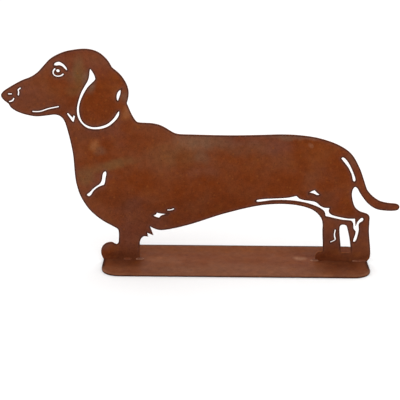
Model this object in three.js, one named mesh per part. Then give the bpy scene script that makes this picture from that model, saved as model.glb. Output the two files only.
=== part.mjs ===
// A long low dog in silhouette, cut from one flat steel sheet and tack welded upright on a base plate.
// Millimetres, +Z up. The dog faces -X, its show side faces -Y, and X runs along its length.
// The origin is the middle of the base plate's underside.

import * as THREE from "three";

// Driving dimensions
const dogLength = 500; // nose tip to tail tip
const sheetThickness = 2; // of the sheet that the dog is cut from
const slitWidth = 2.2; // of the narrow cut lines: eye, mouth, nostrils, muzzle, belly fur and shin
const pupilWidth = 4.8;
const pupilHeight = 4.4;
const baseDepth = 100; // front edge to back edge
const baseThickness = 3;
const baseCornerRadius = 22;
const weldLeg = 2.6; // of a tack weld, against the sheet and against the base plate
const shortWeld = 11;
const longWeld = 18;
const chordError = 0.05; // how far a facet may stand off the true curve

// The dog is drawn on a grid of 500 squares from nose tip to tail tip, with Z counted up from its soles.
const gridSquares = 500;
const grid = dogLength / gridSquares;
const toeX = 122; // front end of the soles
const heelX = 463; // back end of the soles

// The base plate ends flush with the soles at both ends.
const baseLength = (heelX - toeX) * grid;
const baseMiddleX = ((heelX + toeX) / 2) * grid;

// Where each tack weld sits along the soles, on the show side.
const welds = {
  weld_front_foot: { x: 153, length: shortWeld },
  weld_front_heel: { x: 169, length: shortWeld },
  weld_hind_toe: { x: 395, length: shortWeld },
  weld_hind_heel: { x: 453, length: longWeld },
};

// The outer outline, once round from the nose tip over the back.
// Each stretch is one smooth curve that ends where the next one starts, at a sharp corner.
const outline = {
  forehead: [
    [0, 217.5], [2, 220.6], [8, 225], [25.5, 235], [38.5, 240.5], [47.2, 246.9],
    [60, 261], [69, 267], [80, 271.6], [90, 273.8], [102.7, 275.2], [113, 274.1],
    [122, 270.4], [131.6, 261.3],
  ],
  earBack: [
    [136.8, 252.6], [145.7, 244.8], [151.8, 236.7], [155.5, 228.5], [156.7, 221.5],
    [156, 214.5],
  ],
  napeAndBack: [
    [154.3, 207.8], [158.2, 197.8], [162.1, 189.8], [166.8, 183.8], [174, 182.7],
    [184.5, 182.3], [194.4, 180.2], [201, 177.2], [210.9, 171], [217, 168.8],
    [235, 168], [286, 167.4], [324, 168.4], [347, 169.2], [368, 168.5], [394.3, 164.7],
    [419.6, 155.8], [435.5, 144.6], [448.5, 122.5], [457.3, 98.5], [461.6, 92.7],
    [467.8, 86.9], [475.6, 82.3], [485, 80], [496.6, 78.7], [499.4, 77], [500, 74.6],
    [498.5, 71.6], [494, 70.3], [481.5, 70.4], [471, 72.4], [460.5, 79.3], [449.6, 93],
    [445.3, 100.2], [442.4, 101.8], [440, 99.3], [438.7, 94], [439.4, 86.3],
    [443.7, 74], [450.6, 68], [459.2, 65.2], [462.6, 62], [463, 56],
    [463.2, 41.5], [466.1, 18], [466.7, 9.5], [465.8, 4],
  ],
  hindSole: [[heelX, 0]],
  hindToe: [[397.5, 0], [396.2, 4], [396.6, 8.2], [399.4, 11.8]],
  hindLegAndBelly: [
    [405.4, 13], [405.4, 22], [404, 41], [403.9, 50.5], [401.7, 58.7], [393.5, 68.1],
    [380.6, 74.1], [357.6, 77.8], [325.2, 76.2], [277.6, 64.4], [235.3, 49.7],
    [214.6, 43.9], [200.4, 41.2], [194.4, 41], [188.9, 42.4],
  ],
  furTuft: [[181.4, 46.2]],
  furTuftTip: [[185.8, 33.9]],
  secondTuft: [[177.9, 37.3]],
  frontLegBack: [[179.2, 31.8], [174.6, 32.2], [170.9, 29.6], [168.8, 24], [168.5, 16]],
  frontSole: [[168.5, 0]],
  frontToeToChin: [
    [toeX, 0], [120, 4.2], [119, 8.6], [119.7, 14.6], [123.3, 19.9], [128.3, 22.5],
    [133, 22.8], [136.6, 20.9], [139.4, 20.2], [141.5, 22.4], [142.2, 28], [142.3, 37],
    [141.3, 41.3], [137.5, 44.2], [123.8, 51.9], [113.3, 59.9], [103.5, 70.4],
    [94.1, 87], [89.6, 103.1], [88.2, 113.8], [86.2, 143.6], [79.3, 177.7],
    [76.5, 185.6], [72.2, 190.8], [66, 192.9], [57, 192], [42.6, 190.5], [32.5, 191.9],
    [22.7, 194.7], [15.7, 198.1], [11.1, 201.8],
  ],
  noseUnder: [[8.8, 206], [6, 208.3], [2, 212], [0.3, 214.6]],
};

// The wider openings, each once round in the same way.
const openings = {
  ear: {
    frontEdge: [
      [145.4, 198.3], [144.1, 190.8], [133.9, 179.6], [125.2, 175.2], [114.5, 173.7],
      [104.8, 175.5], [97.6, 181.4], [93.2, 189.5], [92.3, 197.3], [93.4, 205.7],
      [99, 222.4], [106.5, 235.2], [108.5, 241.5], [109.2, 247.5],
    ],
    backEdge: [
      [110.3, 251.6], [113.2, 247.2], [116, 241.4], [116.3, 237.6], [110.2, 231],
      [105.8, 226.1], [97.3, 209.8], [95.4, 198], [98, 186], [102.9, 180.4],
      [112.7, 177.1], [127.7, 180.2], [136.8, 187.2], [143.8, 197.2],
    ],
  },
  earFold: {
    frontEdge: [[147.3, 225.6], [143.5, 222], [141.8, 216.5], [142.1, 212.5]],
    backEdge: [[143.4, 209.9], [145.3, 214.6], [147.2, 221]],
  },
  brow: {
    upperEdge: [
      [65.8, 254.8], [67.1, 257.6], [71.8, 259.5], [75.5, 258.3], [79.8, 254.6], [82, 251],
    ],
    lowerEdge: [[82.6, 248], [80.4, 248.9], [76.6, 252.9], [72.4, 254.5], [68.4, 254]],
  },
  jaw: {
    tip: [[79.7, 193.9]],
    frontArm: [[81.5, 195.3]],
    crotch: [[87, 189.2]],
    backArm: [[88.4, 192.5]],
    backArmEnd: [[90.3, 190.8]],
    point: [[88.3, 182.8]],
    pointEnd: [[86.4, 183.6]],
  },
  chest: {
    backEdge: [[126.3, 119.9], [127.7, 117.7], [126.6, 110.5], [125.5, 104]],
    lowerEdge: [
      [124.2, 100.7], [119.4, 99], [114.9, 96.4], [110.2, 91.8], [107.2, 86.9], [104.4, 85.2],
    ],
    upperEdge: [
      [101.1, 87.6], [105.4, 91], [110.9, 96.8], [119.3, 103.3], [121.4, 107.6],
      [122.2, 113], [123.6, 117.5],
    ],
  },
  bellyFur: {
    upperEdge: [[185.4, 60.2], [189.6, 62.1]],
    crest: [[191, 64.7], [196, 63.5]],
    tip: [[206.4, 62.9], [198.6, 60.7], [196, 59.4]],
    lowerEdge: [[193.8, 56.7], [189.2, 58.2]],
  },
  flankFold: {
    upperEdge: [[383.7, 93], [387.4, 95.3]],
    crest: [[391.5, 97], [394.4, 93.6]],
    lowerEdge: [[398.8, 90.5], [395.6, 89.5], [389.2, 92]],
  },
  thigh: {
    upperEdge: [[317, 81.4], [319, 83], [325, 84.2], [357.4, 86.5]],
    firstBarb: [
      [368.7, 89], [372.5, 85.4], [378, 83.6], [393.4, 80.9], [399.6, 75.8], [404, 73.6],
    ],
    secondBarb: [[411.9, 73], [410.9, 68.2], [413.6, 64.4], [428.7, 60], [437, 58.8]],
    hockPoint: [[445, 58.9]],
    hockTongue: [[446.1, 48.6], [447.4, 53.7], [449.4, 56.8]],
    hockToShin: [
      [452.6, 60.1], [454.9, 59.6], [455.8, 57.3], [454.6, 54.8], [451, 52.3], [450.1, 49.6],
      [450.7, 43.5], [449.1, 32.8], [447.8, 28.4], [445.6, 26], [443.8, 26.9], [443.7, 29.2],
      [445.6, 36],
    ],
    shinStep: [[446.3, 40.7], [443.2, 45.4], [442.5, 51.6], [440.6, 54.8], [428.6, 56.4]],
    lowerEdge: [
      [406.5, 61.3], [405.6, 66.6], [400.6, 71.5], [387.9, 77.1], [377.6, 79.9], [361, 82.2],
      [338.4, 82.2], [319.3, 79.9],
    ],
  },
  rump: {
    backEdge: [
      [422.5, 139.2], [424.7, 140.8], [427.6, 139.5], [432.2, 134.2], [437.6, 124.2],
      [442.7, 110.2], [441.3, 108.1], [439.5, 109.4],
    ],
    frontEdge: [[437.1, 118], [432.9, 126.1], [428.9, 131.4]],
  },
  hindLegs: {
    floor: [[441.9, 11]],
    frontEdge: [
      [428.9, 11], [427.2, 26], [425.2, 44.6], [426.2, 49.3], [430, 50.6], [434, 49.3],
      [436.6, 42.5], [440, 28], [441.4, 18],
    ],
  },
};

// The centre lines of the narrow slits.
const slits = {
  eyeRing: [
    [67.1, 250.4], [65, 247.4], [65.1, 244.1], [67.4, 241.8], [70.8, 241.2],
    [74.4, 241.9], [77, 243.8],
  ],
  mouth: [[38, 196.2], [46.5, 196.4], [57.4, 200], [69.8, 202.7]],
  upperNostril: [[9, 218.3], [12.4, 218.4]],
  lowerNostril: [[9.8, 208.7], [12.4, 209.4], [14.2, 210.9], [15, 212.6]],
  muzzle: [[23.7, 225.7], [21.2, 223.6], [21.5, 220.4], [20.9, 217.2]],
  bellyHair: [[205, 67.9], [208.6, 68.1], [212.3, 69.5]],
  shin: [[415.2, 26.3], [418.6, 27.9], [420.7, 29.7], [419.8, 33.5], [419.5, 37], [420.2, 42.6]],
};
const pupil = [70.8, 248];

const rustySteel = { metalness: 0.3, roughness: 0.75 };

// A smooth curve through grid points.
function curveThrough(points) {
  const spots = points.map(([x, z]) => new THREE.Vector3(x * grid, z * grid, 0));
  return new THREE.CatmullRomCurve3(spots, false, "centripetal");
}

// The points along a curve whose chords keep within chordError of it, without the last one.
function flatten(curve) {
  const flat = [];
  function halve(from, to) {
    const start = curve.getPoint(from);
    const middle = curve.getPoint((from + to) / 2);
    const chord = new THREE.Line3(start, curve.getPoint(to));
    const foot = chord.closestPointToPoint(middle, true, new THREE.Vector3());
    if (foot.distanceTo(middle) > chordError) {
      halve(from, (from + to) / 2);
      halve((from + to) / 2, to);
    } else {
      flat.push(new THREE.Vector2(start.x, start.y));
    }
  }
  const spans = curve.points.length - 1;
  for (let i = 0; i < spans; i += 1) {
    halve(i / spans, (i + 1) / spans);
  }
  return flat;
}

// A closed line of smooth stretches. Each ends at the first point of the next.
function closedLine(stretches) {
  const parts = Object.values(stretches);
  return parts.flatMap((part, i) => {
    const [corner] = parts[(i + 1) % parts.length];
    return flatten(curveThrough([...part, corner]));
  });
}

// A slit with round ends: two lines half a slit's width off its centre line, joined by half circles.
function slitLine(points) {
  const curve = curveThrough(points);
  const steps = 4 * (points.length - 1);
  const capSteps = 5;
  const side = [];
  for (let i = 0; i <= steps; i += 1) {
    const { x, y } = curve.getPoint(i / steps);
    const along = curve.getTangent(i / steps);
    side.push({ x, y, angle: Math.atan2(along.y, along.x) });
  }
  const offset = ({ x, y }, angle) =>
    new THREE.Vector2(
      x + (slitWidth / 2) * Math.cos(angle),
      y + (slitWidth / 2) * Math.sin(angle),
    );
  const cap = (spot, from) => {
    const arc = [];
    for (let i = 1; i < capSteps; i += 1) {
      arc.push(offset(spot, from + (Math.PI * i) / capSteps));
    }
    return arc;
  };
  const [first] = side;
  const last = side[steps];
  return [
    ...side.map((spot) => offset(spot, spot.angle - Math.PI / 2)),
    ...cap(last, last.angle - Math.PI / 2),
    ...side.toReversed().map((spot) => offset(spot, spot.angle + Math.PI / 2)),
    ...cap(first, first.angle + Math.PI / 2),
  ];
}

// The dog: its outline with every opening cut through the sheet.
function dogSilhouette() {
  // Counter-clockwise, which is when ExtrudeGeometry turns every hole to suit it.
  const shape = new THREE.Shape(closedLine(outline).reverse());
  for (const opening of Object.values(openings)) {
    shape.holes.push(new THREE.Path(closedLine(opening)));
  }
  for (const slit of Object.values(slits)) {
    shape.holes.push(new THREE.Path(slitLine(slit)));
  }
  const [pupilX, pupilZ] = pupil;
  const eye = new THREE.Path();
  eye.absellipse(pupilX * grid, pupilZ * grid, pupilWidth / 2, pupilHeight / 2, 0, 2 * Math.PI);
  shape.holes.push(new THREE.Path(eye.getSpacedPoints(16).slice(1)));
  const geometry = new THREE.ExtrudeGeometry(shape, { depth: sheetThickness, bevelEnabled: false });
  const colour = new THREE.MeshStandardMaterial({ color: "#6f3a20", ...rustySteel });
  const mesh = new THREE.Mesh(geometry, colour);
  mesh.name = "dog_silhouette";
  mesh.rotation.x = Math.PI / 2;
  mesh.position.set(-baseMiddleX, sheetThickness / 2, baseThickness);
  return mesh;
}

// The base plate: a rectangle with round corners, lying flat.
function basePlate() {
  const x = baseLength / 2 - baseCornerRadius;
  const y = baseDepth / 2 - baseCornerRadius;
  const shape = new THREE.Shape();
  const quarter = Math.PI / 2;
  [[x, y], [-x, y], [-x, -y], [x, -y]].forEach(([cx, cy], i) => {
    shape.absarc(cx, cy, baseCornerRadius, i * quarter, (i + 1) * quarter);
  });
  const geometry = new THREE.ExtrudeGeometry(shape, {
    depth: baseThickness,
    bevelEnabled: false,
    curveSegments: 12,
  });
  const colour = new THREE.MeshStandardMaterial({ color: "#7a4a36", ...rustySteel });
  const mesh = new THREE.Mesh(geometry, colour);
  mesh.name = "base_plate";
  return mesh;
}

// A tack weld: a quarter-round bead in the corner between the sheet and the base plate.
// It is thickest in the middle and runs out to a point at both ends.
function tackWeld(name, { x, length }) {
  const rings = 12;
  const arcSteps = 6;
  const vertices = [];
  for (let i = 1; i < rings; i += 1) {
    const turn = (Math.PI * i) / rings;
    const along = (-length / 2) * Math.cos(turn);
    const leg = weldLeg * Math.sin(turn);
    vertices.push(along, 0, 0);
    for (let j = 0; j <= arcSteps; j += 1) {
      const rise = ((Math.PI / 2) * j) / arcSteps;
      vertices.push(along, -leg * Math.cos(rise), leg * Math.sin(rise));
    }
  }
  const startTip = vertices.length / 3;
  const endTip = startTip + 1;
  vertices.push(-length / 2, 0, 0, length / 2, 0, 0);

  const round = arcSteps + 2;
  const lastRing = (rings - 2) * round;
  const faces = [];
  for (let j = 0; j < round; j += 1) {
    const next = (j + 1) % round;
    faces.push(startTip, j, next);
    faces.push(endTip, lastRing + next, lastRing + j);
    for (let start = 0; start < lastRing; start += round) {
      const ahead = start + round;
      faces.push(start + j, ahead + next, start + next);
      faces.push(start + j, ahead + j, ahead + next);
    }
  }
  const geometry = new THREE.BufferGeometry();
  geometry.setAttribute("position", new THREE.Float32BufferAttribute(vertices, 3));
  geometry.setIndex(faces);
  geometry.computeVertexNormals();
  const colour = new THREE.MeshStandardMaterial({ color: "#8a6452", ...rustySteel });
  const mesh = new THREE.Mesh(geometry, colour);
  mesh.name = name;
  mesh.position.set(x * grid - baseMiddleX, -sheetThickness / 2, baseThickness);
  return mesh;
}

const sculpture = new THREE.Group();
sculpture.add(basePlate(), dogSilhouette());
for (const [name, weld] of Object.entries(welds)) {
  sculpture.add(tackWeld(name, weld));
}

export default sculpture;
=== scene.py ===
"""Looks for a long low dog cut from rusted sheet steel: the sheet, its base plate, four welds, a studio."""

import math

import bmesh
import bpy
import numpy as np
from bpy.props import FloatProperty, FloatVectorProperty, IntProperty, PointerProperty
from mathutils import Matrix, Vector
from mathutils.geometry import delaunay_2d_cdt
from mathutils.kdtree import KDTree


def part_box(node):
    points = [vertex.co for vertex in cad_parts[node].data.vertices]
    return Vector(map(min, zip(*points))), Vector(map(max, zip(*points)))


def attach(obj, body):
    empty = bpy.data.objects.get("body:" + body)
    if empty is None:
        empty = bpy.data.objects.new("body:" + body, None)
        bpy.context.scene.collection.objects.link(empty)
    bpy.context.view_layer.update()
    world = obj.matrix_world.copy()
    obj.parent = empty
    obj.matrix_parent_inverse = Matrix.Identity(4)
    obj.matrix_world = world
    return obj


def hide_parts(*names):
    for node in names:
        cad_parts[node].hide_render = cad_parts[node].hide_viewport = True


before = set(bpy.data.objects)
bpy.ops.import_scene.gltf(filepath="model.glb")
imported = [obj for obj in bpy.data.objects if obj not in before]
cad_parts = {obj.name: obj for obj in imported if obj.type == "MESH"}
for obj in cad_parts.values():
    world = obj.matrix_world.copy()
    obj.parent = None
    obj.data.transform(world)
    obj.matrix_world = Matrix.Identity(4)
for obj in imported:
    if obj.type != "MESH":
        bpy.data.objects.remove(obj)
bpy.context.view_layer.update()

bl_info = {
    "name": "Steel dog silhouette",
    "version": (1, 0, 0),
    "blender": (4, 5, 0),
    "location": "3D View > Sidebar > Steel dog",
    "description": "Rusted sheet, base plate, tack welds and a pale studio for a dog silhouette",
    "category": "Add Mesh",
}

MM = 0.001  # metres in a millimetre

WELDS = ["weld_front_foot", "weld_front_heel", "weld_hind_toe", "weld_hind_heel"]


def linear(hex_colour):
    """An sRGB colour such as '#6e3118' as the linear red, green and blue that Blender works in."""
    channels = [int(hex_colour[i : i + 2], 16) / 255 for i in (1, 3, 5)]
    return tuple(c / 12.92 if c <= 0.04045 else ((c + 0.055) / 1.055) ** 2.4 for c in channels)


# Sizes and colours that a user would change


def length(label, description, millimetres):
    """A property that holds a length. Its default is given in millimetres."""
    return FloatProperty(name=label, description=description, default=millimetres * MM, unit="LENGTH")


def colour(label, description, hex_colour):
    """A property that holds a colour. Its default is given in sRGB."""
    return FloatVectorProperty(
        name=label, description=description, default=linear(hex_colour), subtype="COLOR", min=0, max=1
    )


class CutPlateSettings(bpy.types.PropertyGroup):
    """How the two plates are cut and meshed."""

    sheet_arris: length("Sheet arris", "Radius that rust and handling leave on the dog's cut edges", 0.2)
    sheet_crust: length("Sheet crust", "How far rust and slag stand proud of the dog's cut edges", 0.35)
    base_arris: length("Base arris", "Radius of the base plate's ground edges", 0.5)
    base_crust: length("Base crust", "How far rust stands proud of the base plate's edges", 0.35)
    longest_step: length("Longest step", "Widest spacing of points along a straight cut edge", 2.0)
    finest_turn: FloatProperty(
        name="Finest turn",
        description="How far a cut edge may turn between two points",
        default=math.radians(12),
        subtype="ANGLE",
    )
    corner: FloatProperty(
        name="Corner",
        description="A turn sharper than this stays a sharp corner",
        default=math.radians(40),
        subtype="ANGLE",
    )
    skin_grid: length("Skin grid", "Spacing of points on the flat faces, away from the cut edges", 5.0)


class RustSettings(bpy.types.PropertyGroup):
    """Colours of the rust and the size of its patterns."""

    deep: colour("Deep rust", "Smooth red-brown rust", "#6a2e0e")
    brown: colour("Brown rust", "Older rust, a little duller", "#6e3a21")
    orange: colour("Orange rust", "Young rust, bright and dusty", "#82461c")
    olive: colour("Olive scale", "Mill scale that the rust hasn't taken yet", "#6c4b2c")
    grey: colour("Grey bloom", "Dull violet-grey bloom on the rust", "#683b2e")
    # also laid as a painted highlight along the dog's top edge
    scale: colour("Grey scale", "Grey-green mill scale that shows through thin rust", "#6a5a48")
    # also laid round the feet on the base plate, partly rust and partly painted shade and reflection of the
    # legs, and low along its front edge as painted shade
    dark: colour("Damp rust", "Dark rust where water stays", "#4f2412")
    # also laid as a painted reflection along the base plate's front, and as a painted highlight on its front
    # rim and on the dog's top edge
    pale: colour("Pale dust", "Light dust and water marks", "#966a50")
    heat: colour("Heat tint", "Dull violet that the torch's heat leaves beside each cut", "#65423b")
    # also laid as painted shade low on the base plate's edges and as a painted dark line along its sides and
    # back
    burnt: colour("Burnt edge", "Cut edges, blackened by the cutting torch", "#371e17")
    weld: colour("Weld metal", "Thinly rusted metal of the weld beads", "#93654e")
    blotch: length("Blotch", "Width of the broad soft blotches", 60)
    mottle: length("Mottle", "Width of the small blotches inside them", 16)
    grain: length("Grain", "Width of the rust grains", 1.1)
    burnt_band: length("Burnt band", "Width of the dark line along each cut", 2.3)
    heat_band: length("Heat band", "Width of the tint along each cut", 5.5)


class WeldSettings(bpy.types.PropertyGroup):
    """The shape of the tack welds' surface."""

    ripple: length("Ripple", "Spacing of the ripples along a bead", 1.5)
    ripple_depth: FloatProperty(
        name="Ripple depth",
        description="Depth of a ripple as a share of the bead",
        default=0.16,
        min=0,
        max=1,
    )
    lean: length("Ripple lean", "How far the middle of each ripple leads its ends", 0.9)
    lump: length("Lump", "Height of the uneven lumps on a bead", 0.3)
    seed: IntProperty(name="Seed", description="Picks one pattern of lumps", default=4)


class StageSettings(bpy.types.PropertyGroup):
    """Floor, light and camera."""

    floor_width: FloatProperty(
        name="Floor width", description="Side of the square floor", default=14.0, unit="LENGTH"
    )
    floor_colour: colour("Floor", "Plain pale floor", "#f8f8f8")
    sky: FloatProperty(
        name="Room light", description="Strength of the even light from all sides", default=1.07
    )
    top_power: FloatProperty(
        name="Top light", description="Power of the soft box overhead", default=7.0, unit="POWER"
    )
    front_power: FloatProperty(
        name="Front light", description="Power of the soft box beside the camera", default=2.0, unit="POWER"
    )
    camera_place: FloatVectorProperty(
        name="Camera place",
        description="Where the camera stands",
        default=(-46.47 * MM, -1333.24 * MM, 558.57 * MM),
        subtype="TRANSLATION",
    )
    camera_dip: FloatProperty(
        name="Camera dip",
        description="How far the camera looks down",
        default=math.radians(19.5612),
        subtype="ANGLE",
    )
    camera_roll: FloatProperty(
        name="Camera roll",
        description="How far the camera leans",
        default=math.radians(0.5261),
        subtype="ANGLE",
    )
    lens: FloatProperty(name="Lens", description="Focal length in millimetres", default=100.0)


# The mesh of a cut plate


def face_lines(node, facing):
    """The closed edge lines of the node's faces that look along facing, with the metal on their left."""
    one_point = 0.001 * MM
    looks_along = 0.99
    mesh = bmesh.new()
    mesh.from_mesh(node.data)
    bmesh.ops.remove_doubles(mesh, verts=mesh.verts, dist=one_point)
    mesh.normal_update()
    chosen = {face for face in mesh.faces if face.normal.dot(facing) > looks_along}
    following = {}
    for face in chosen:
        for corner in face.loops:
            beyond = [other for other in corner.edge.link_faces if other in chosen and other is not face]
            if not beyond:
                following[corner.vert] = corner.link_loop_next.vert
    lines = []
    while following:
        start = min(following, key=lambda vert: vert.co[:])
        line = []
        vert = start
        while vert in following:
            line.append(vert.co.copy())
            vert = following.pop(vert)
        lines.append(line)
    mesh.free()
    if not lines:
        raise RuntimeError(f"{node.name} has no flat face that looks along {facing}")
    return sorted(lines, key=lambda line: (-len(line), line[0][:]))


def turn_between(first, second):
    """The angle in radians from one direction in the plane to another, left turns positive."""
    return math.atan2(first[0] * second[1] - first[1] * second[0], float(np.dot(first, second)))


def smoothed(points, corner):
    """A closed line of facets as a fine smooth line, and which of its points are sharp corners.

    Each facet becomes a cubic curve, which passes a soft corner along the mean way of the facets there.
    """
    samples = 8
    count = len(points)
    steps = np.roll(points, -1, axis=0) - points
    spans = np.linalg.norm(steps, axis=1)
    ways = steps / spans[:, None]
    fine, sharp = [], []
    bends = [abs(turn_between(ways[i - 1], ways[i])) > corner for i in range(count)]
    leans = ways / spans[:, None] + np.roll(ways / spans[:, None], 1, axis=0)
    leans /= np.linalg.norm(leans, axis=1)[:, None]
    for i in range(count):
        j = (i + 1) % count
        leave = ways[i] if bends[i] else leans[i]
        arrive = ways[i] if bends[j] else leans[j]
        leave = leave * min(spans[i], spans[i - 1])
        arrive = arrive * min(spans[i], spans[j])
        for k in range(samples):
            t = k / samples
            place = (
                (2 * t**3 - 3 * t**2 + 1) * points[i]
                + (t**3 - 2 * t**2 + t) * leave
                + (3 * t**2 - 2 * t**3) * points[j]
                + (t**3 - t**2) * arrive
            )
            fine.append(place)
            sharp.append(k == 0 and bends[i])
    return np.array(fine), np.array(sharp)


def spaced(fine, sharp, longest_step, finest_turn):
    """Points picked from a fine closed line: close where it bends, far apart where it is straight."""
    shortest_step = longest_step / 8
    steps = np.roll(fine, -1, axis=0) - fine
    spans = np.linalg.norm(steps, axis=1)
    start = int(np.argmax(sharp))
    order = [(start + i) % len(fine) for i in range(len(fine))]
    picked = [order[0]]
    gone = turned = 0.0
    for before, here in zip(order, order[1:]):
        gone += spans[before]
        turned += abs(turn_between(steps[before], steps[here]))
        if sharp[here] or gone > longest_step or (turned > finest_turn and gone > shortest_step):
            picked.append(here)
            gone = turned = 0.0
    return fine[picked], sharp[picked]


def inward(points):
    """At each point of a closed line, the step into the metal that moves both its edges in by one unit.

    At a very sharp corner the step is held back, or it would run far past the corner.
    """
    least_size = 0.8
    steps = np.roll(points, -1, axis=0) - points
    ways = steps / np.linalg.norm(steps, axis=1)[:, None]
    left = np.stack([-ways[:, 1], ways[:, 0]], axis=1)
    both = left + np.roll(left, 1, axis=0)
    sizes = np.maximum(np.linalg.norm(both, axis=1), least_size)
    return both * (2 / sizes**2)[:, None]


def near_finder(lines, spacing):
    """A tree that finds the nearest spot of the lines, which it holds at about that spacing."""
    spots = []
    for line in lines:
        for start, end in zip(line, np.roll(line, -1, axis=0)):
            pieces = max(1, round(float(np.linalg.norm(end - start)) / spacing))
            spots.extend(start + (end - start) * k / pieces for k in range(pieces))
    tree = KDTree(len(spots))
    for i, (u, v) in enumerate(spots):
        tree.insert((u, v, 0), i)
    tree.balance()
    return tree


def skin_points(lines, near, grid):
    """Points inside the flat face: rows that follow every line, and a grid where the lines are far away."""
    rows = [0.6 * MM, 1.2 * MM, 2.1 * MM, 3.6 * MM]
    row_clear = 0.92  # how near a row's point may come to any line, as a share of the row's distance
    row_gap = 0.6  # how near it may come to another row point, as the same share
    grid_clear = 0.4  # how far the grid stays off the last row, as a share of the grid
    found = []
    taken = {}

    def add(place, gap):
        u, v = place
        cell = (int(u // gap), int(v // gap))
        for du in (-1, 0, 1):
            for dv in (-1, 0, 1):
                for pu, pv in taken.get((gap, cell[0] + du, cell[1] + dv), []):
                    if math.hypot(pu - u, pv - v) < gap:
                        return
        taken.setdefault((gap, *cell), []).append((u, v))
        found.append((u, v))

    for row in rows:
        for line in lines:
            for place in line + inward(line) * row:
                if near.find((*place, 0))[2] > row_clear * row:
                    add(place, row_gap * row)
    low = np.min([line.min(axis=0) for line in lines], axis=0)
    high = np.max([line.max(axis=0) for line in lines], axis=0)
    rise = grid * math.sqrt(3) / 2
    for j in range(math.ceil((high[1] - low[1]) / rise)):
        for i in range(math.ceil((high[0] - low[0]) / grid) + 1):
            u = low[0] + (i + 0.5 * (j % 2)) * grid
            v = low[1] + (j + 0.5) * rise
            if near.find((u, v, 0))[2] > rows[-1] + grid_clear * grid:
                found.append((u, v))
    return found


def inside(triangles, edges):
    """The triangles on the left of the closed edge lines, where the metal is."""
    beside = {}
    for number, (a, b, c) in enumerate(triangles):
        beside[a, b] = beside[b, c] = beside[c, a] = number
    walls = {*edges, *((end, start) for start, end in edges)}
    waiting = [beside[edge] for edge in edges]
    kept = set(waiting)
    while waiting:
        a, b, c = triangles[waiting.pop()]
        for edge in ((a, b), (b, c), (c, a)):
            other = beside.get((edge[1], edge[0]))
            if edge not in walls and other is not None and other not in kept:
                kept.add(other)
                waiting.append(other)
    return [triangles[number] for number in sorted(kept)]


def arris_profile(radius, thickness):
    """(step in, depth) of the rings from one face to the other, round over both arrises."""
    halfway = (1 - math.sqrt(0.5)) * radius
    front = [(radius, 0), (halfway, halfway), (0, radius)]
    middle = [(0, thickness * 0.4), (0, thickness * 0.6)]
    back = [(step, thickness - depth) for step, depth in reversed(front)]
    return front + middle + back


def cut_plate(name, node, facing, across, up, arris, proud, settings):
    """A plate with the outline and openings of a CAD plate, round arrises and a fine mesh.

    facing is the way its show face looks, and across and up are the directions of that face.
    proud is how far its cut edges stand out past the CAD plate's.
    The point attribute from_edge holds each point's distance from the nearest cut, in metres.
    """
    near_spacing = 0.3 * MM
    same_place = 1e-9
    low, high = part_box(node.name)
    facing, across, up = Vector(facing), Vector(across), Vector(up)
    thickness = abs((high - low).dot(facing))
    face_at = max(low.dot(facing), high.dot(facing))
    lines = []
    corners = []
    for line in face_lines(node, facing):
        flat = np.array([(place.dot(across), place.dot(up)) for place in line])
        points, sharp = spaced(*smoothed(flat, settings.corner), settings.longest_step, settings.finest_turn)
        lines.append(points - inward(points) * proud)
        corners.append(sharp)
    near = near_finder(lines, near_spacing)

    inset_lines = [line + inward(line) * arris for line in lines]
    inputs = [tuple(place) for line in inset_lines for place in line]
    edges = []
    for line in inset_lines:
        first = len(edges)
        edges += [(first + i, first + (i + 1) % len(line)) for i in range(len(line))]
    edge_count = len(inputs)
    inputs += skin_points(lines, near, settings.skin_grid)
    flat_places = [Vector(place) for place in inputs]
    all_triangles = 0
    result = delaunay_2d_cdt(flat_places, edges, [], all_triangles, same_place, True)
    places, triangles, origins = result[0], result[2], result[3]
    if len(places) > len(inputs) or any(not origin for origin in origins):
        raise RuntimeError(f"{name}: its inset edge lines cross each other")
    triangles = inside([[origins[i][0] for i in triangle] for triangle in triangles], edges)
    used = sorted(set(range(edge_count)) | {i for triangle in triangles for i in triangle})
    renumber = {old: new for new, old in enumerate(used)}
    triangles = [[renumber[i] for i in triangle] for triangle in triangles]
    skin = np.array([inputs[i] for i in used])

    def placed(flat, depth):
        spot = facing * (face_at - depth)
        return [spot + across * float(u) + up * float(v) for u, v in flat]

    vertices = placed(skin, 0) + placed(skin, thickness)
    faces = [tuple(triangle) for triangle in triangles]
    faces += [tuple(len(skin) + i for i in reversed(triangle)) for triangle in triangles]
    skin_faces = len(faces)
    profile = arris_profile(arris, thickness)
    sharp_edges = set()
    first = 0
    for line, sharp in zip(lines, corners):
        count = len(line)
        rings = [list(range(first, first + count))]
        for step, depth in profile[1:-1]:
            rings.append(list(range(len(vertices), len(vertices) + count)))
            vertices += placed(line + inward(line) * step, depth)
        rings.append([len(skin) + i for i in rings[0]])
        for upper, lower in zip(rings, rings[1:]):
            for i in range(count):
                j = (i + 1) % count
                faces.append((upper[i], lower[i], lower[j], upper[j]))
                if sharp[i]:
                    sharp_edges.add(tuple(sorted((upper[i], lower[i]))))
        first += count

    mesh = bpy.data.meshes.new(name)
    mesh.from_pydata(vertices, [], faces)
    mesh.validate()
    from_edge = np.zeros(len(vertices), np.float32)
    for i, (u, v) in enumerate(skin):
        distance = near.find((u, v, 0))[2]
        from_edge[i] = distance
        from_edge[len(skin) + i] = distance
    mesh.attributes.new("from_edge", "FLOAT", "POINT").data.foreach_set("value", from_edge)
    mesh.attributes.new("sharp_edge", "BOOLEAN", "EDGE").data.foreach_set(
        "value", [tuple(sorted(edge.vertices)) in sharp_edges for edge in mesh.edges]
    )
    on_wall = [int(i >= skin_faces) for i in range(len(mesh.polygons))]
    mesh.polygons.foreach_set("use_smooth", [True] * len(mesh.polygons))
    mesh.polygons.foreach_set("material_index", on_wall)
    plate = bpy.data.objects.new(name, mesh)
    bpy.context.scene.collection.objects.link(plate)
    return plate


# Materials


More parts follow.
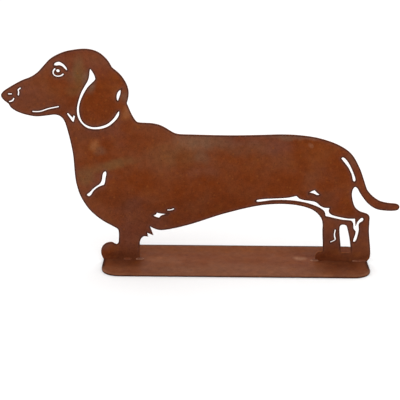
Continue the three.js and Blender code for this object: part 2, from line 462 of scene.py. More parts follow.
def add_node(tree, kind, inputs=None, **settings):
    """Adds a node, sets it, fills or links its inputs, and returns its first live output.

    An input is named, or numbered where two share a name.
    """
    node = tree.nodes.new(kind)
    for name, value in settings.items():
        setattr(node, name, value)
    named = {socket.name: socket for socket in reversed(node.inputs) if socket.enabled}
    for key, value in (inputs or {}).items():
        socket = node.inputs[key] if isinstance(key, int) else named[key]
        if isinstance(value, bpy.types.NodeSocket):
            tree.links.new(value, socket)
        elif socket.type == "RGBA":
            socket.default_value = (*value[:3], 1)
        else:
            socket.default_value = value
    return next((socket for socket in node.outputs if socket.enabled), None)


def new_material(name):
    """An empty node material, and the place of each shaded point in the row frame."""
    material = bpy.data.materials.new(name)
    material.use_nodes = True
    material.node_tree.nodes.clear()
    place = add_node(material.node_tree, "ShaderNodeTexCoord").node.outputs["Object"]
    return material, place


def soft_noise(tree, place, size, low, high, detail=3.0):
    """Noise with blotches of that size in metres, as a value that goes from 0 to 1 between low and high."""
    noise = add_node(
        tree, "ShaderNodeTexNoise", {"Vector": place, "Scale": 1 / size, "Detail": detail, "Roughness": 0.55}
    )
    return add_node(
        tree,
        "ShaderNodeMapRange",
        {"Value": noise, "From Min": low, "From Max": high},
        interpolation_type="SMOOTHSTEP",
    )


def shifted(tree, place, offset, stretch=(1, 1, 1)):
    """The place moved and stretched, so that two patterns of one size don't fall together."""
    return add_node(tree, "ShaderNodeMapping", {"Vector": place, "Location": offset, "Scale": stretch})


def laid_over(tree, under, over, amount, strength=1.0):
    """One colour laid over another, by an amount that varies over the surface."""
    if strength != 1.0:
        amount = add_node(tree, "ShaderNodeMath", {0: amount, 1: strength}, operation="MULTIPLY")
    return add_node(tree, "ShaderNodeMix", {"Factor": amount, "A": under, "B": over}, data_type="RGBA")


def stains_and_painted_light(tree, under, place, stains, colours):
    """Soft stains laid over a colour, each at its own place with its own size, turn and strength. On the
    base plate some of them are painted shade and painted reflection, and on the dog two are painted
    highlights.

    A stain is (colour name, middle, half sizes, turn about Y in degrees, strength), in millimetres.
    Each stain's place is worked out with vector maths alone, because a Mapping node for each would
    fill the renderer's shader stack and turn the whole material black.
    """
    wander = 14 * MM
    wander_size = 24 * MM
    cloud_size = 11 * MM
    thinnest = 0.6
    fades_from, fades_to = 0.25, 1.1
    noise = add_node(tree, "ShaderNodeTexNoise", {"Vector": place, "Scale": 1 / wander_size, "Detail": 3.0})
    swing = noise.node.outputs["Color"]
    swing = add_node(tree, "ShaderNodeVectorMath", {0: swing, 1: (0.5, 0.5, 0.5)}, operation="SUBTRACT")
    swing = add_node(tree, "ShaderNodeVectorMath", {0: swing, 1: (wander, 0, wander)}, operation="MULTIPLY")
    place = add_node(tree, "ShaderNodeVectorMath", {0: place, 1: swing}, operation="ADD")
    cloud = soft_noise(tree, place, cloud_size, 0.2, 0.7)
    cloud = add_node(tree, "ShaderNodeMapRange", {"Value": cloud, "To Min": thinnest, "To Max": 1.0})
    for colour_name, middle, half, turn, strength in stains:
        middle, half = Vector(middle) * MM, Vector(half) * MM
        local = add_node(tree, "ShaderNodeVectorMath", {0: place, 1: middle}, operation="SUBTRACT")
        if turn:
            local = add_node(
                tree,
                "ShaderNodeVectorRotate",
                {"Vector": local, "Angle": math.radians(turn)},
                rotation_type="Y_AXIS",
            )
        local = add_node(tree, "ShaderNodeVectorMath", {0: local, 1: half}, operation="DIVIDE")
        away = add_node(tree, "ShaderNodeVectorMath", {0: local}, operation="LENGTH").node.outputs["Value"]
        amount = add_node(
            tree,
            "ShaderNodeMapRange",
            {"Value": away, "From Min": fades_from, "From Max": fades_to, "To Min": 1.0, "To Max": 0.0},
            interpolation_type="SMOOTHSTEP",
        )
        amount = add_node(tree, "ShaderNodeMath", {0: amount, 1: cloud}, operation="MULTIPLY")
        under = laid_over(tree, under, getattr(colours, colour_name), amount, strength)
    return under


def scattered_specks(tree, place, spacing, share):
    """Small uneven specks on a scattered share of loosely spaced spots: 1 in their middles and 0 between."""
    soft_rim = 0.25
    widest = 0.5
    noise = add_node(tree, "ShaderNodeTexNoise", {"Vector": place, "Scale": 2 / spacing, "Detail": 4.0})
    ragged = add_node(
        tree,
        "ShaderNodeVectorMath",
        {0: noise.node.outputs["Color"], 1: (spacing, spacing, spacing), 2: place},
        operation="MULTIPLY_ADD",
    )
    spots = add_node(tree, "ShaderNodeTexVoronoi", {"Vector": ragged, "Scale": 1 / spacing}).node.outputs
    chance = add_node(tree, "ShaderNodeSeparateColor", {"Color": spots["Color"]})
    size = add_node(
        tree,
        "ShaderNodeMapRange",
        {"Value": chance, "From Min": 1 - share, "From Max": 1.0, "To Max": widest},
    )
    depth = add_node(tree, "ShaderNodeMath", {0: size, 1: spots["Distance"]}, operation="SUBTRACT")
    return add_node(
        tree, "ShaderNodeMapRange", {"Value": depth, "From Max": soft_rim}, interpolation_type="SMOOTHSTEP"
    )


def rust_finish(tree, place, base_colour, roughness, grain, grain_height, specular):
    """Ends a rust material: grain, dust and pits in its colour, gloss and surface, on a dielectric shader.

    Rust is iron oxide and not metal, and its loose grains scatter most of the gloss.
    """
    rust = bpy.context.scene.dog_rust
    darkest, lightest = 0.77, 1.14
    dust_share, dust_strength = 0.5, 0.35
    pit_share, pit_strength = 0.45, 0.45
    gloss_swing = 0.06
    grains = soft_noise(tree, place, grain, 0.35, 0.65, detail=5.0)
    clouds = soft_noise(tree, shifted(tree, place, (0.2, 0.6, 0.1)), 6 * grain, 0.3, 0.7, detail=6.0)
    both = add_node(tree, "ShaderNodeMath", {0: grains, 1: clouds}, operation="ADD")
    shade = add_node(
        tree, "ShaderNodeMapRange", {"Value": both, "From Max": 2.0, "To Min": darkest, "To Max": lightest}
    )
    tinted = add_node(tree, "ShaderNodeVectorMath", {0: base_colour, 1: shade}, operation="MULTIPLY")
    dust = scattered_specks(tree, shifted(tree, place, (0.5, 0.3, 0.7)), 3.5 * grain, dust_share)
    tinted = laid_over(tree, tinted, rust.orange, dust, dust_strength)
    pits = scattered_specks(tree, place, 2.2 * grain, pit_share)
    tinted = laid_over(tree, tinted, rust.dark, pits, pit_strength)
    patches = soft_noise(tree, place, 9 * grain, 0.3, 0.7)
    gloss = add_node(
        tree,
        "ShaderNodeMapRange",
        {"Value": patches, "To Min": roughness - gloss_swing, "To Max": roughness + gloss_swing},
    )
    sunk = add_node(tree, "ShaderNodeMath", {0: grains, 1: pits}, operation="SUBTRACT")
    bump = add_node(tree, "ShaderNodeBump", {"Strength": 0.7, "Distance": grain_height, "Height": sunk})
    shader = add_node(
        tree,
        "ShaderNodeBsdfPrincipled",
        {
            "Base Color": tinted,
            "Roughness": gloss,
            "Normal": bump,
            "Metallic": 0.0,
            "Specular IOR Level": specular,
        },
    )
    add_node(tree, "ShaderNodeOutputMaterial", {"Surface": shader})


# Stains and two painted highlights on the dog's show side: colour, middle (x, z), half sizes (x, z), turn in
# degrees, strength.
# A later row lies over an earlier one. They fade inside the sheet, so the back has its own pattern.
STAIN_FACE = -1
STAIN_REACH = 1.4
SHEET_STAINS_AND_HIGHLIGHTS = [
    ("olive", (-196, 248), (10, 26), 0, 0.9),
    ("scale", (-185, 238), (10, 18), 0, 0.55),
    ("scale", (-206, 243), (9, 12), 0, 0.25),
    ("pale", (-166, 266), (38, 14), 0, 0.14),
    ("orange", (-148, 248), (12, 12), 0, 0.35),
    ("olive", (-203, 227), (12, 10), 0, 0.45),
    ("grey", (-212, 262), (44, 20), 0, 0.35),
    ("orange", (-226, 226), (16, 10), 0, 0.2),
    ("grey", (-262, 216), (38, 22), 0, 0.3),
    ("grey", (-168, 256), (24, 16), 0, 0.35),
    ("deep", (-168, 205), (26, 30), 0, 1.0),
    ("orange", (-148, 222), (9, 14), 0, 0.4),
    ("scale", (-139, 219), (8, 8), 0, 0.3),
    ("orange", (-139, 200), (10, 13), 0, 0.9),
    ("pale", (-139, 200), (7, 9), 0, 0.25),
    ("grey", (-176, 170), (30, 16), 0, 0.15),
    ("dark", (-184, 172), (30, 12), 0, 0.32),
    ("deep", (-126, 162), (30, 20), 0, 0.8),
    ("orange", (-179.5, 156.5), (9.5, 9), 0, 1.0),
    ("pale", (-179.5, 157), (7, 7), 0, 0.25),
    ("scale", (-171, 149), (10, 9), 0, 0.3),
    ("olive", (-192, 116), (15, 17), 0, 0.6),
    ("olive", (-157, 131), (42, 8), 16, 0.7),
    ("deep", (-122, 108), (38, 22), 0, 1.0),
    ("deep", (-156, 106), (14, 10), 0, 0.6),
    ("olive", (-76, 144), (48, 22), 0, 0.35),
    ("pale", (-58, 160), (34, 17), 0, 0.16),
    ("grey", (6, 164), (34, 9), 0, 0.5),
    ("grey", (52, 157), (24, 16), 0, 0.6),
    ("scale", (-42, 164), (44, 16), 0, 0.4),
    ("scale", (8, 154), (44, 14), 0, 0.2),
    # a grey band along the top edge of the back: painted highlight
    ("scale", (70, 171), (50, 7), 0, 0.4),
    ("scale", (-46, 142), (14, 12), 0, 0.25),
    ("deep", (-40, 107), (36, 18), 0, 1.0),
    ("deep", (30, 112), (60, 22), 0, 0.6),
    ("orange", (100, 150), (32, 22), 0, 0.25),
    ("pale", (90.5, 159.5), (4, 4), 0, 0.4),
    # a pale spot on the top edge of the back: painted highlight
    ("pale", (92, 170), (10, 5), 0, 0.3),
    ("deep", (128, 122), (30, 30), 0, 0.6),
    ("scale", (147, 142), (12, 18), 0, 0.3),
    ("deep", (146, 72), (30, 16), 0, 1.0),
    ("dark", (154, 60), (18, 22), 0, 0.4),
    ("deep", (112, 106), (20, 14), 0, 0.9),
    ("dark", (106, 86), (30, 16), -12, 0.4),
    ("dark", (108, 68), (18, 9), 0, 0.4),
    ("dark", (122, 28), (16, 20), 0, 0.4),
    ("dark", (132, 60), (8, 9), 0, 0.3),
    ("dark", (164, 44), (12, 18), 0, 0.25),
    ("dark", (190, 75), (20, 9), 0, 0.35),
    ("deep", (-161, 88), (34, 14), 0, 0.5),
    ("dark", (-172, 90), (26, 9), 0, 0.3),
    ("dark", (-138, 79), (36, 18), 0, 0.45),
    ("deep", (-138, 181), (11, 11), 0, 0.8),
    ("deep", (-192, 194), (11, 10), 0, 1.0),
    ("dark", (-192, 194), (9, 9), 0, 0.35),
    ("dark", (-155, 197), (16, 11), 0, 0.3),
    ("deep", (-126, 185), (15, 7), 0, 0.6),
    ("orange", (-121, 184), (13, 7), 0, 0.35),
    ("deep", (-226, 197), (16, 9), 0, 0.7),
    ("dark", (-238, 206), (52, 20), 0, 0.25),
    ("heat", (-169, 23), (9, 10), 0, 0.55),
    ("deep", (-98, 72), (34, 14), 0, 0.6),
    ("dark", (-98, 70), (20, 16), 0, 0.2),
    ("grey", (-136, 36), (34, 34), 0, 0.6),
    ("dark", (-134, 8), (40, 18), 0, 0.35),
    ("grey", (140, 38), (50, 34), 0, 0.4),
    ("dark", (140, 14), (52, 36), 0, 0.15),
    # darker along the lower body towards the belly
    ("dark", (-60, 66), (130, 32), 12, 0.35),
    ("orange", (-160, 20), (12, 6), 0, 0.3),
    ("dark", (-150, 9), (22, 6), 0, 0.4),
    ("dark", (112, 9), (16, 6), 0, 0.5),
    ("orange", (130, 17), (13, 5), 0, 0.3),
    ("orange", (156, 12), (9, 4), 0, 0.3),
    ("dark", (168, 8), (12, 5), 0, 0.5),
]

# Stains on the base plate's top and edges, with painted shade and painted reflection among them: colour,
# middle, half sizes, turn, strength.
BASE_STAINS_AND_PAINTED_LIGHT = [
    ("orange", (-20, 36, 3), (180, 22, 8), 0, 0.4),
    # a pale band across the front half: painted reflection of the bright room
    ("pale", (0, -38, 3), (200, 30, 8), 0, 0.27),
    # dark round the hind leg, here and at the feet below: partly rust, partly painted shade and reflection
    # of the legs
    ("dark", (96, 28, 3), (50, 26, 8), 0, 0.3),
    ("pale", (84, 6, 3), (11, 9, 8), 0, 0.7),
    # pale between the legs: painted reflection of the bright room under the belly
    ("pale", (-94, -2, 3), (34, 20, 8), 0, 0.15),
    # dark at the front foot and round the hind foot: partly rust, partly painted shade and reflection of the
    # legs
    ("dark", (-144, -8, 3), (36, 27, 8), 0, 0.65),
    ("dark", (138, -8, 3), (40, 28, 8), 0, 0.7),
    ("dark", (142, 26, 3), (34, 26, 8), 0, 0.75),
    # darker low along the front edge: painted shade
    ("dark", (0, -51, 1), (200, 4, 5), 0, 0.35),
    ("heat", (-20, -51, 1), (170, 4, 5), 0, 0.3),
    ("heat", (-175, 26, 3), (10, 12, 8), 0, 0.35),
    ("dark", (132, -51, 1), (66, 6, 5), 0, 0.85),
    ("dark", (-141, -49, 1), (24, 6, 5), 0, 0.6),
    ("pale", (171, 8, 3), (10, 12, 8), 0, 0.42),
    # these two darken the base round the hind foot too: partly rust, partly painted shade and reflection of
    # the leg
    ("dark", (128, -32, 3), (52, 20, 8), 0, 0.42),
    ("deep", (140, 30, 3), (30, 24, 8), 0, 0.7),
]

# The two beads that have rusted as dark as the feet.
WELD_STAINS = [
    ("deep", (-139.5, -2.3, 4.3), (9, 9, 9), 0, 1.0),
    ("deep", (160.5, -2.3, 4.3), (13, 9, 9), 0, 0.8),
]


def rusted_sheet():
    """Mild steel sheet left outdoors: even red-brown rust that is smooth and nearly matt.

    It gives broad soft blotches of duller and brighter brown, with a dark line and a dull violet tint
    along each torch cut. New rust has covered both at the feet, and made the arris orange.
    """
    rust = bpy.context.scene.dog_rust
    through_sheet = 40  # packs each pattern tighter through the sheet, so that its two faces differ
    damp_height, dry_height = 11 * MM, 24 * MM
    kept_at_feet, kept_above = 0.2, 0.9
    tint_core, tint_strength = 1.5 * MM, 0.3
    burnt_core = 0.8 * MM
    edge_wander = 4 * MM
    arris_start, arris_end = 0.2 * MM, 0.7 * MM
    burn_on_arris = 0.3
    rim_width, rim_strength = 0.6 * MM, 0.6
    material, place = new_material("rusted_mild_steel_sheet")
    tree = material.node_tree
    spread = shifted(tree, place, (0, 0, 0), (1, through_sheet, 1))
    colour_now = laid_over(tree, rust.deep, rust.brown, soft_noise(tree, spread, rust.blotch, 0.35, 0.65))
    bloom = soft_noise(tree, shifted(tree, spread, (0.7, 0.2, 0.4)), rust.blotch * 0.8, 0.5, 0.8)
    colour_now = laid_over(tree, colour_now, rust.grey, bloom, 0.6)
    young = soft_noise(tree, shifted(tree, spread, (0.1, 0.9, 0.3)), rust.mottle, 0.5, 0.8)
    colour_now = laid_over(tree, colour_now, rust.orange, young, 0.35)
    runs = soft_noise(tree, shifted(tree, spread, (0.4, 0, 0), (1, 1, 0.25)), rust.mottle * 0.5, 0.45, 0.8)
    colour_now = laid_over(tree, colour_now, rust.deep, runs, 0.3)
    stains = [
        (name, (x, STAIN_FACE, z), (half_x, STAIN_REACH, half_z), turn, strength)
        for name, (x, z), (half_x, half_z), turn, strength in SHEET_STAINS_AND_HIGHLIGHTS
    ]
    colour_now = stains_and_painted_light(tree, colour_now, place, stains, rust)
    from_edge = add_node(tree, "ShaderNodeAttribute", attribute_name="from_edge").node.outputs["Fac"]
    height = add_node(tree, "ShaderNodeSeparateXYZ", {"Vector": place}).node.outputs["Z"]
    kept = add_node(
        tree,
        "ShaderNodeMapRange",
        {
            "Value": height,
            "From Min": damp_height,
            "From Max": dry_height,
            "To Min": kept_at_feet,
            "To Max": kept_above,
        },
    )
    tint = add_node(
        tree,
        "ShaderNodeMapRange",
        {
            "Value": from_edge,
            "From Min": tint_core,
            "From Max": rust.heat_band,
            "To Min": 1.0,
            "To Max": 0.0,
        },
        interpolation_type="SMOOTHSTEP",
    )
    tint = add_node(tree, "ShaderNodeMath", {0: tint, 1: kept}, operation="MULTIPLY")
    colour_now = laid_over(tree, colour_now, rust.heat, tint, tint_strength)
    wander = soft_noise(tree, spread, edge_wander, 0.3, 0.7)
    reach = add_node(
        tree,
        "ShaderNodeMapRange",
        {"Value": wander, "To Min": 0.8 * rust.burnt_band, "To Max": 1.2 * rust.burnt_band},
    )
    burn = add_node(
        tree,
        "ShaderNodeMapRange",
        {"Value": from_edge, "From Min": burnt_core, "From Max": reach, "To Min": 1.0, "To Max": 0.0},
        interpolation_type="SMOOTHSTEP",
    )
    burn = add_node(tree, "ShaderNodeMath", {0: burn, 1: kept}, operation="MULTIPLY")
    off_arris = add_node(
        tree,
        "ShaderNodeMapRange",
        {"Value": from_edge, "From Min": arris_start, "From Max": arris_end, "To Min": burn_on_arris},
    )
    burn = add_node(tree, "ShaderNodeMath", {0: burn, 1: off_arris}, operation="MULTIPLY")
    colour_now = laid_over(tree, colour_now, rust.burnt, burn)
    rim = add_node(
        tree,
        "ShaderNodeMapRange",
        {"Value": from_edge, "From Max": rim_width, "To Min": rim_strength, "To Max": 0.0},
    )
    colour_now = laid_over(tree, colour_now, rust.orange, rim)
    rust_finish(
        tree, spread, colour_now, roughness=0.62, grain=rust.grain, grain_height=0.05 * MM, specular=0.03
    )
    return material


def torch_cut_edge():
    """The wall that the cutting torch leaves: fine furrows through the thickness, rusted over.

    It gives a dusty orange-brown rim round every opening, darker in the furrows.
    """
    rust = bpy.context.scene.dog_rust
    material, place = new_material("torch_cut_rusted_edge")
    tree = material.node_tree
    furrow_pitch = 0.7 * MM
    furrow_depth = 0.12 * MM
    straightness = 0.12  # stretches each furrow through the sheet, as the torch draws it
    along = shifted(tree, place, (0, 0, 0), (1, straightness, 1))
    furrows = soft_noise(tree, along, furrow_pitch, 0.3, 0.7, detail=1.0)
    colour_now = laid_over(tree, rust.dark, rust.brown, furrows)
    bloom = soft_noise(tree, place, rust.mottle, 0.3, 0.6)
    colour_now = laid_over(tree, colour_now, rust.orange, bloom, 0.6)
    bump = add_node(tree, "ShaderNodeBump", {"Strength": 0.8, "Distance": furrow_depth, "Height": furrows})
    shader = add_node(
        tree,
        "ShaderNodeBsdfPrincipled",
        {
            "Base Color": colour_now,
            "Roughness": 0.7,
            "Normal": bump,
            "Metallic": 0.0,
            "Specular IOR Level": 0.05,
        },
    )
    add_node(tree, "ShaderNodeOutputMaterial", {"Surface": shader})
    return material


def rusted_base_plate():
    """Mild steel plate that lies flat: the same rust, smoother where it is touched, with dust settled on it.

    It gives a lighter, duller brown with water marks and a painted reflection as a pale band along the
    front. Round the feet it is darker, partly rust and partly painted shade and reflection of the legs, and
    low on its edges it has painted shade. Its rim has a painted highlight at the front and a painted dark
    line, painted shade, at the sides and back.
    """
    rust = bpy.context.scene.dog_rust
    rim_core, rim_band = 1.5 * MM, 5.0 * MM
    pale_until, dark_from = -46 * MM, -24 * MM
    pale_strength, dark_strength = 0.2, 0.85
    low_shade_until, low_shade_gone_from = 1.2 * MM, 2.1 * MM
    material, place = new_material("rusted_mild_steel_plate")
    tree = material.node_tree
    colour_now = laid_over(tree, rust.brown, rust.grey, soft_noise(tree, place, rust.blotch, 0.45, 0.8), 0.4)
    young = soft_noise(tree, shifted(tree, place, (0.3, 0.5, 0)), rust.mottle, 0.45, 0.8)
    colour_now = laid_over(tree, colour_now, rust.orange, young, 0.3)
    dust = soft_noise(tree, shifted(tree, place, (0.8, 0.1, 0)), rust.mottle * 1.6, 0.35, 0.75)
    colour_now = laid_over(tree, colour_now, rust.pale, dust, 0.12)
    colour_now = stains_and_painted_light(tree, colour_now, place, BASE_STAINS_AND_PAINTED_LIGHT, rust)
    from_edge = add_node(tree, "ShaderNodeAttribute", attribute_name="from_edge").node.outputs["Fac"]
    # painted highlight along the front rim, and painted shade as a dark line along the sides and back
    painted_rim = add_node(
        tree,
        "ShaderNodeMapRange",
        {"Value": from_edge, "From Min": rim_core, "From Max": rim_band, "To Min": 1.0, "To Max": 0.0},
        interpolation_type="SMOOTHSTEP",
    )
    spot = add_node(tree, "ShaderNodeSeparateXYZ", {"Vector": place}).node.outputs
    behind = add_node(
        tree, "ShaderNodeMapRange", {"Value": spot["Y"], "From Min": pale_until, "From Max": dark_from}
    )
    painted_rim_colour = laid_over(tree, rust.pale, rust.burnt, behind)
    painted_rim_strength = add_node(
        tree, "ShaderNodeMapRange", {"Value": behind, "To Min": pale_strength, "To Max": dark_strength}
    )
    painted_rim = add_node(tree, "ShaderNodeMath", {0: painted_rim, 1: painted_rim_strength}, operation="MULTIPLY")
    colour_now = laid_over(tree, colour_now, painted_rim_colour, painted_rim)
    # painted shade low on the plate's edges: darker towards the bottom of each edge
    painted_low_shade = add_node(
        tree,
        "ShaderNodeMapRange",
        {"Value": spot["Z"], "From Min": low_shade_until, "From Max": low_shade_gone_from, "To Min": 1.0, "To Max": 0.0},
    )
    colour_now = laid_over(tree, colour_now, rust.burnt, painted_low_shade, 0.9)
    rust_finish(
        tree, place, colour_now, roughness=0.42, grain=rust.grain, grain_height=0.03 * MM, specular=0.012
    )
    return material


def rusted_weld():
    """Weld metal from a wire welder: ripples of bright bead that have rusted less than the plate.

    It gives a paler, pinkish brown low on each bead, with darker rust in patches and along its top.
    """
    rust = bpy.context.scene.dog_rust
    patch_size = 3 * MM
    bright_until, dark_from = 3.9 * MM, 5.0 * MM
    material, place = new_material("rusted_weld_bead")
    tree = material.node_tree
    patches = soft_noise(tree, place, patch_size, 0.4, 0.7)
    colour_now = laid_over(tree, rust.weld, rust.deep, patches, 0.7)
    height = add_node(tree, "ShaderNodeSeparateXYZ", {"Vector": place}).node.outputs["Z"]
    crown = add_node(
        tree, "ShaderNodeMapRange", {"Value": height, "From Min": bright_until, "From Max": dark_from}
    )
    colour_now = laid_over(tree, colour_now, rust.dark, crown, 0.8)
    colour_now = stains_and_painted_light(tree, colour_now, place, WELD_STAINS, rust)
    rust_finish(
        tree, place, colour_now, roughness=0.5, grain=0.6 * MM, grain_height=0.05 * MM, specular=0.15
    )
    return material


# The weld beads


def bead_nodes():
    """The node tree of a tack weld: a rippled quarter-round bead along X that runs out at both ends."""
    tree = bpy.data.node_groups.new("tack_weld_bead", "GeometryNodeTree")
    for name in ("Length", "Leg", "Ripple", "Ripple depth", "Lean", "Lump"):
        tree.interface.new_socket(name=name, in_out="INPUT", socket_type="NodeSocketFloat")
    tree.interface.new_socket(name="Seed", in_out="INPUT", socket_type="NodeSocketInt")
    tree.interface.new_socket(name="Root", in_out="INPUT", socket_type="NodeSocketVector")
    tree.interface.new_socket(name="Material", in_out="INPUT", socket_type="NodeSocketMaterial")
    tree.interface.new_socket(name="Geometry", in_out="OUTPUT", socket_type="NodeSocketGeometry")
    given = add_node(tree, "NodeGroupInput").node.outputs
    rings = 97
    arc_points = 13
    bluntness = 0.0004  # keeps the bead's two ends from closing to a point
    roundness = 0.6  # below 1, the ripples are broad with narrow grooves
    lump_size = 2.5 * MM

    def maths(operation, *values):
        return add_node(tree, "ShaderNodeMath", dict(enumerate(values)), operation=operation)

    half = maths("MULTIPLY", given["Length"], 0.5)
    start = add_node(tree, "ShaderNodeCombineXYZ", {"X": maths("MULTIPLY", half, -1.0)})
    end = add_node(tree, "ShaderNodeCombineXYZ", {"X": half})
    line = add_node(tree, "GeometryNodeCurvePrimitiveLine", {"Start": start, "End": end})
    line = add_node(tree, "GeometryNodeResampleCurve", {"Curve": line, "Count": rings})
    share = add_node(tree, "GeometryNodeSplineParameter")
    from_middle = maths("SUBTRACT", maths("MULTIPLY", share, 2.0), 1.0)
    swell = maths("SUBTRACT", 1.0, maths("MULTIPLY", from_middle, from_middle))
    swell = maths("POWER", maths("MAXIMUM", swell, bluntness), 0.5)
    ripples = maths("DIVIDE", maths("MULTIPLY", share, given["Length"]), given["Ripple"])
    scallop = maths("ABSOLUTE", maths("SINE", maths("MULTIPLY", ripples, math.pi)))
    scallop = maths("POWER", scallop, roundness)
    groove = maths("MULTIPLY", maths("SUBTRACT", 1.0, scallop), given["Ripple depth"])
    radius = maths("MULTIPLY", maths("MULTIPLY", swell, given["Leg"]), maths("SUBTRACT", 1.0, groove))
    profile = add_node(
        tree,
        "GeometryNodeCurveArc",
        {
            "Resolution": arc_points,
            "Radius": 1.0,
            "Start Angle": 3 * math.pi / 2,
            "Sweep Angle": math.pi / 2,
            "Connect Center": True,
        },
    )
    bead = add_node(
        tree,
        "GeometryNodeCurveToMesh",
        {"Curve": line, "Profile Curve": profile, "Scale": radius, "Fill Caps": True},
    )
    place = add_node(tree, "GeometryNodeInputPosition")
    parts = add_node(tree, "ShaderNodeSeparateXYZ", {"Vector": place}).node.outputs
    across = maths("MULTIPLY", parts["Y"], parts["Y"])
    upward = maths("MULTIPLY", parts["Z"], parts["Z"])
    squares = maths("ADD", across, upward)
    product = maths("ABSOLUTE", maths("MULTIPLY", parts["Y"], parts["Z"]))
    never_zero = maths("MAXIMUM", squares, 1e-12)
    belly = maths("DIVIDE", maths("MULTIPLY", product, 2.0), never_zero)
    lead = maths("MULTIPLY", maths("MULTIPLY", belly, given["Lean"]), swell_at(tree, parts["X"], half))
    noise = add_node(
        tree,
        "ShaderNodeTexNoise",
        {"Vector": place, "W": given["Seed"], "Scale": 1 / lump_size, "Detail": 2.0},
        noise_dimensions="4D",
    )
    rise = maths("MULTIPLY", maths("SUBTRACT", noise, 0.5), given["Lump"])
    rise = maths("MULTIPLY", rise, belly)
    normal = add_node(tree, "GeometryNodeInputNormal")
    bump = add_node(tree, "ShaderNodeVectorMath", {0: normal, "Scale": rise}, operation="SCALE")
    push = add_node(tree, "ShaderNodeCombineXYZ", {"X": lead})
    shift = add_node(tree, "ShaderNodeVectorMath", {0: bump, 1: push}, operation="ADD")
    shift = add_node(tree, "ShaderNodeVectorMath", {0: shift, 1: given["Root"]}, operation="ADD")
    bead = add_node(tree, "GeometryNodeSetPosition", {"Geometry": bead, "Offset": shift})
    bead = add_node(tree, "GeometryNodeSetShadeSmooth", {"Geometry": bead})
    bead = add_node(tree, "GeometryNodeRealizeInstances", {"Geometry": bead})
    bead = add_node(tree, "GeometryNodeSetMaterial", {"Geometry": bead, "Material": given["Material"]})
    add_node(tree, "NodeGroupOutput", {"Geometry": bead})
    return tree


def swell_at(tree, along, half):
    """How full the bead is at a distance along it: 1 in the middle and 0 at its ends."""
    share = add_node(tree, "ShaderNodeMath", {0: along, 1: half}, operation="DIVIDE")
    square = add_node(tree, "ShaderNodeMath", {0: share, 1: share}, operation="MULTIPLY")
    return add_node(tree, "ShaderNodeMath", {0: 1.0, 1: square}, operation="SUBTRACT", use_clamp=True)


def weld_bead(node_name, tree, material, settings):
    """One finished bead in the corner that its CAD weld fills."""
    low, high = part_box(node_name)
    sink = 0.05 * MM
    bead = bpy.data.objects.new(node_name + "_bead", bpy.data.meshes.new(node_name + "_bead"))
    bpy.context.scene.collection.objects.link(bead)
    modifier = bead.modifiers.new("Bead", "NODES")
    modifier.node_group = tree
    values = {
        "Length": high.x - low.x,
        "Leg": high.z - low.z,
        "Ripple": settings.ripple,
        "Ripple depth": settings.ripple_depth,
        "Lean": settings.lean,
        "Lump": settings.lump,
        "Seed": settings.seed + WELDS.index(node_name),
        "Root": ((low.x + high.x) / 2, high.y + sink, low.z - sink),
        "Material": material,
    }
    for socket in tree.interface.items_tree:
        if socket.in_out == "INPUT":
            modifier[socket.identifier] = values[socket.name]
    bpy.context.view_layer.update()
    evaluated = bead.evaluated_get(bpy.context.evaluated_depsgraph_get())
    finished = bpy.data.meshes.new_from_object(evaluated)
    bead.modifiers.remove(modifier)
    bead.data = finished
    finished.name = bead.name
    if not finished.polygons:
        raise RuntimeError(f"{bead.name} came out empty")
    return bead


# Operators


class DOG_OT_sheet(bpy.types.Operator):
    """Makes the dog: rusted sheet with burnt cut edges"""

    bl_idname = "steel_dog.sheet"
    bl_label = "Dog sheet"

    def execute(self, context):
        settings = context.scene.dog_plates
        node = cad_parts["dog_silhouette"]
        sides = {"facing": (0, -1, 0), "across": (1, 0, 0), "up": (0, 0, 1)}
        edge = {"arris": settings.sheet_arris, "proud": settings.sheet_crust}
        dog = cut_plate("dog_sheet", node, **sides, **edge, settings=settings)
        dog.data.materials.append(rusted_sheet())
        dog.data.materials.append(torch_cut_edge())
        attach(dog, "root")
        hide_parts("dog_silhouette")
        return {"FINISHED"}


class DOG_OT_base(bpy.types.Operator):
    """Makes the base plate: rusted plate with ground edges"""

    bl_idname = "steel_dog.base"
    bl_label = "Base plate"

    def execute(self, context):
        settings = context.scene.dog_plates
        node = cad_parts["base_plate"]
        sides = {"facing": (0, 0, 1), "across": (1, 0, 0), "up": (0, 1, 0)}
        edge = {"arris": settings.base_arris, "proud": settings.base_crust}
        base = cut_plate("base_plate_rusted", node, **sides, **edge, settings=settings)
        finish = rusted_base_plate()
        base.data.materials.append(finish)  # on its faces
        base.data.materials.append(finish)  # on its edges
        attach(base, "root")
        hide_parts("base_plate")
        return {"FINISHED"}


class DOG_OT_welds(bpy.types.Operator):
    """Makes the four tack welds along the feet"""

    bl_idname = "steel_dog.welds"
    bl_label = "Tack welds"

    def execute(self, context):
        tree = bead_nodes()
        material = rusted_weld()
        for node_name in WELDS:
            bead = weld_bead(node_name, tree, material, context.scene.dog_welds)
            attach(bead, "root")
            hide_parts(node_name)
        return {"FINISHED"}


class DOG_OT_stage(bpy.types.Operator):
    """Makes the pale floor, the soft light and the camera"""

    bl_idname = "steel_dog.stage"
    bl_label = "Floor, light and camera"

    def execute(self, context):
        stage = context.scene.dog_stage
        make_floor(stage)
        make_light(
            "top_soft_box",
            place=(0, -0.1, 1.6),
            target=(0, 0, 0.1),
            width=2.2,
            power=stage.top_power,
        )
        make_light(
            "front_soft_box",
            place=(-0.5, -2.2, 1.2),
            target=(0, 0, 0.12),
            width=1.6,
            power=stage.front_power,
        )
        make_room_light(stage)
        make_camera(stage)
        context.scene.view_settings.view_transform = "Standard"
        context.scene.view_settings.look = "None"
        return {"FINISHED"}


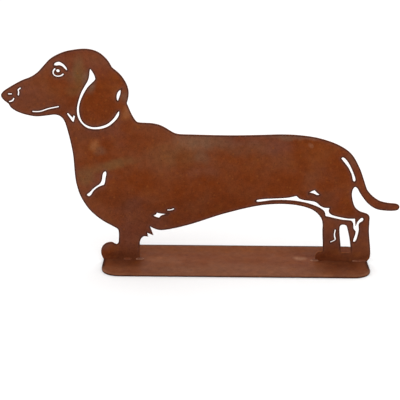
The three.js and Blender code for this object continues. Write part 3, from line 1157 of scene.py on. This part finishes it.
def make_floor(stage):
    """A wide plain floor, a hair under the base plate."""
    half = stage.floor_width / 2
    drop = -0.2 * MM
    corners = [(-half, -half, drop), (half, -half, drop), (half, half, drop), (-half, half, drop)]
    mesh = bpy.data.meshes.new("floor")
    mesh.from_pydata(corners, [], [(0, 1, 2, 3)])
    floor = bpy.data.objects.new("floor", mesh)
    bpy.context.scene.collection.objects.link(floor)
    material = new_material("matt_white_studio_floor")[0]
    tree = material.node_tree
    shader = add_node(
        tree,
        "ShaderNodeBsdfPrincipled",
        {"Base Color": stage.floor_colour, "Roughness": 0.9, "Specular IOR Level": 0.1},
    )
    add_node(tree, "ShaderNodeOutputMaterial", {"Surface": shader})
    mesh.materials.append(material)


def make_light(name, place, target, width, power):
    """A square soft box that looks at a target."""
    data = bpy.data.lights.new(name, "AREA")
    data.shape = "SQUARE"
    data.size = width
    data.energy = power
    light = bpy.data.objects.new(name, data)
    light.location = place
    light.rotation_euler = (Vector(target) - Vector(place)).to_track_quat("-Z", "Y").to_euler()
    bpy.context.scene.collection.objects.link(light)


def make_room_light(stage):
    """Even white light from every side."""
    world = bpy.data.worlds.new("white_room")
    world.use_nodes = True
    world.node_tree.nodes.clear()
    white = (1, 1, 1)
    background = add_node(world.node_tree, "ShaderNodeBackground", {"Color": white, "Strength": stage.sky})
    add_node(world.node_tree, "ShaderNodeOutputWorld", {"Surface": background})
    bpy.context.scene.world = world


def make_camera(stage):
    """The camera, level across but for a slight lean, looking down along +Y."""
    data = bpy.data.cameras.new("camera")
    data.lens = stage.lens
    data.sensor_width = 36
    data.clip_end = 100
    camera = bpy.data.objects.new("camera", data)
    look = Matrix.Rotation(math.pi / 2 - stage.camera_dip, 4, "X")
    lean = Matrix.Rotation(stage.camera_roll, 4, "Z")
    camera.matrix_world = Matrix.Translation(stage.camera_place) @ look @ lean
    bpy.context.scene.collection.objects.link(camera)
    bpy.context.scene.camera = camera


class DOG_PT_panel(bpy.types.Panel):
    """The sidebar panel with every setting and step."""

    bl_idname = "DOG_PT_panel"
    bl_label = "Steel dog silhouette"
    bl_space_type = "VIEW_3D"
    bl_region_type = "UI"
    bl_category = "Steel dog"

    def draw(self, context):
        for step in OPERATORS:
            self.layout.operator(step.bl_idname)
        for group_name in SETTINGS:
            group = getattr(context.scene, group_name)
            box = self.layout.box()
            for setting in group.bl_rna.properties:
                if setting.identifier not in ("rna_type", "name"):
                    box.prop(group, setting.identifier)


SETTINGS = {
    "dog_plates": CutPlateSettings,
    "dog_rust": RustSettings,
    "dog_welds": WeldSettings,
    "dog_stage": StageSettings,
}
OPERATORS = [DOG_OT_sheet, DOG_OT_base, DOG_OT_welds, DOG_OT_stage]


def register():
    for group in SETTINGS.values():
        bpy.utils.register_class(group)
    for name, group in SETTINGS.items():
        setattr(bpy.types.Scene, name, PointerProperty(type=group))
    for operator in OPERATORS:
        bpy.utils.register_class(operator)
    bpy.utils.register_class(DOG_PT_panel)


def unregister():
    bpy.utils.unregister_class(DOG_PT_panel)
    for operator in reversed(OPERATORS):
        bpy.utils.unregister_class(operator)
    for name in SETTINGS:
        delattr(bpy.types.Scene, name)
    for group in reversed(SETTINGS.values()):
        bpy.utils.unregister_class(group)


def main():
    register()
    bpy.ops.steel_dog.sheet()
    bpy.ops.steel_dog.base()
    bpy.ops.steel_dog.welds()
    bpy.ops.steel_dog.stage()


if __name__ == "__main__":
    main()
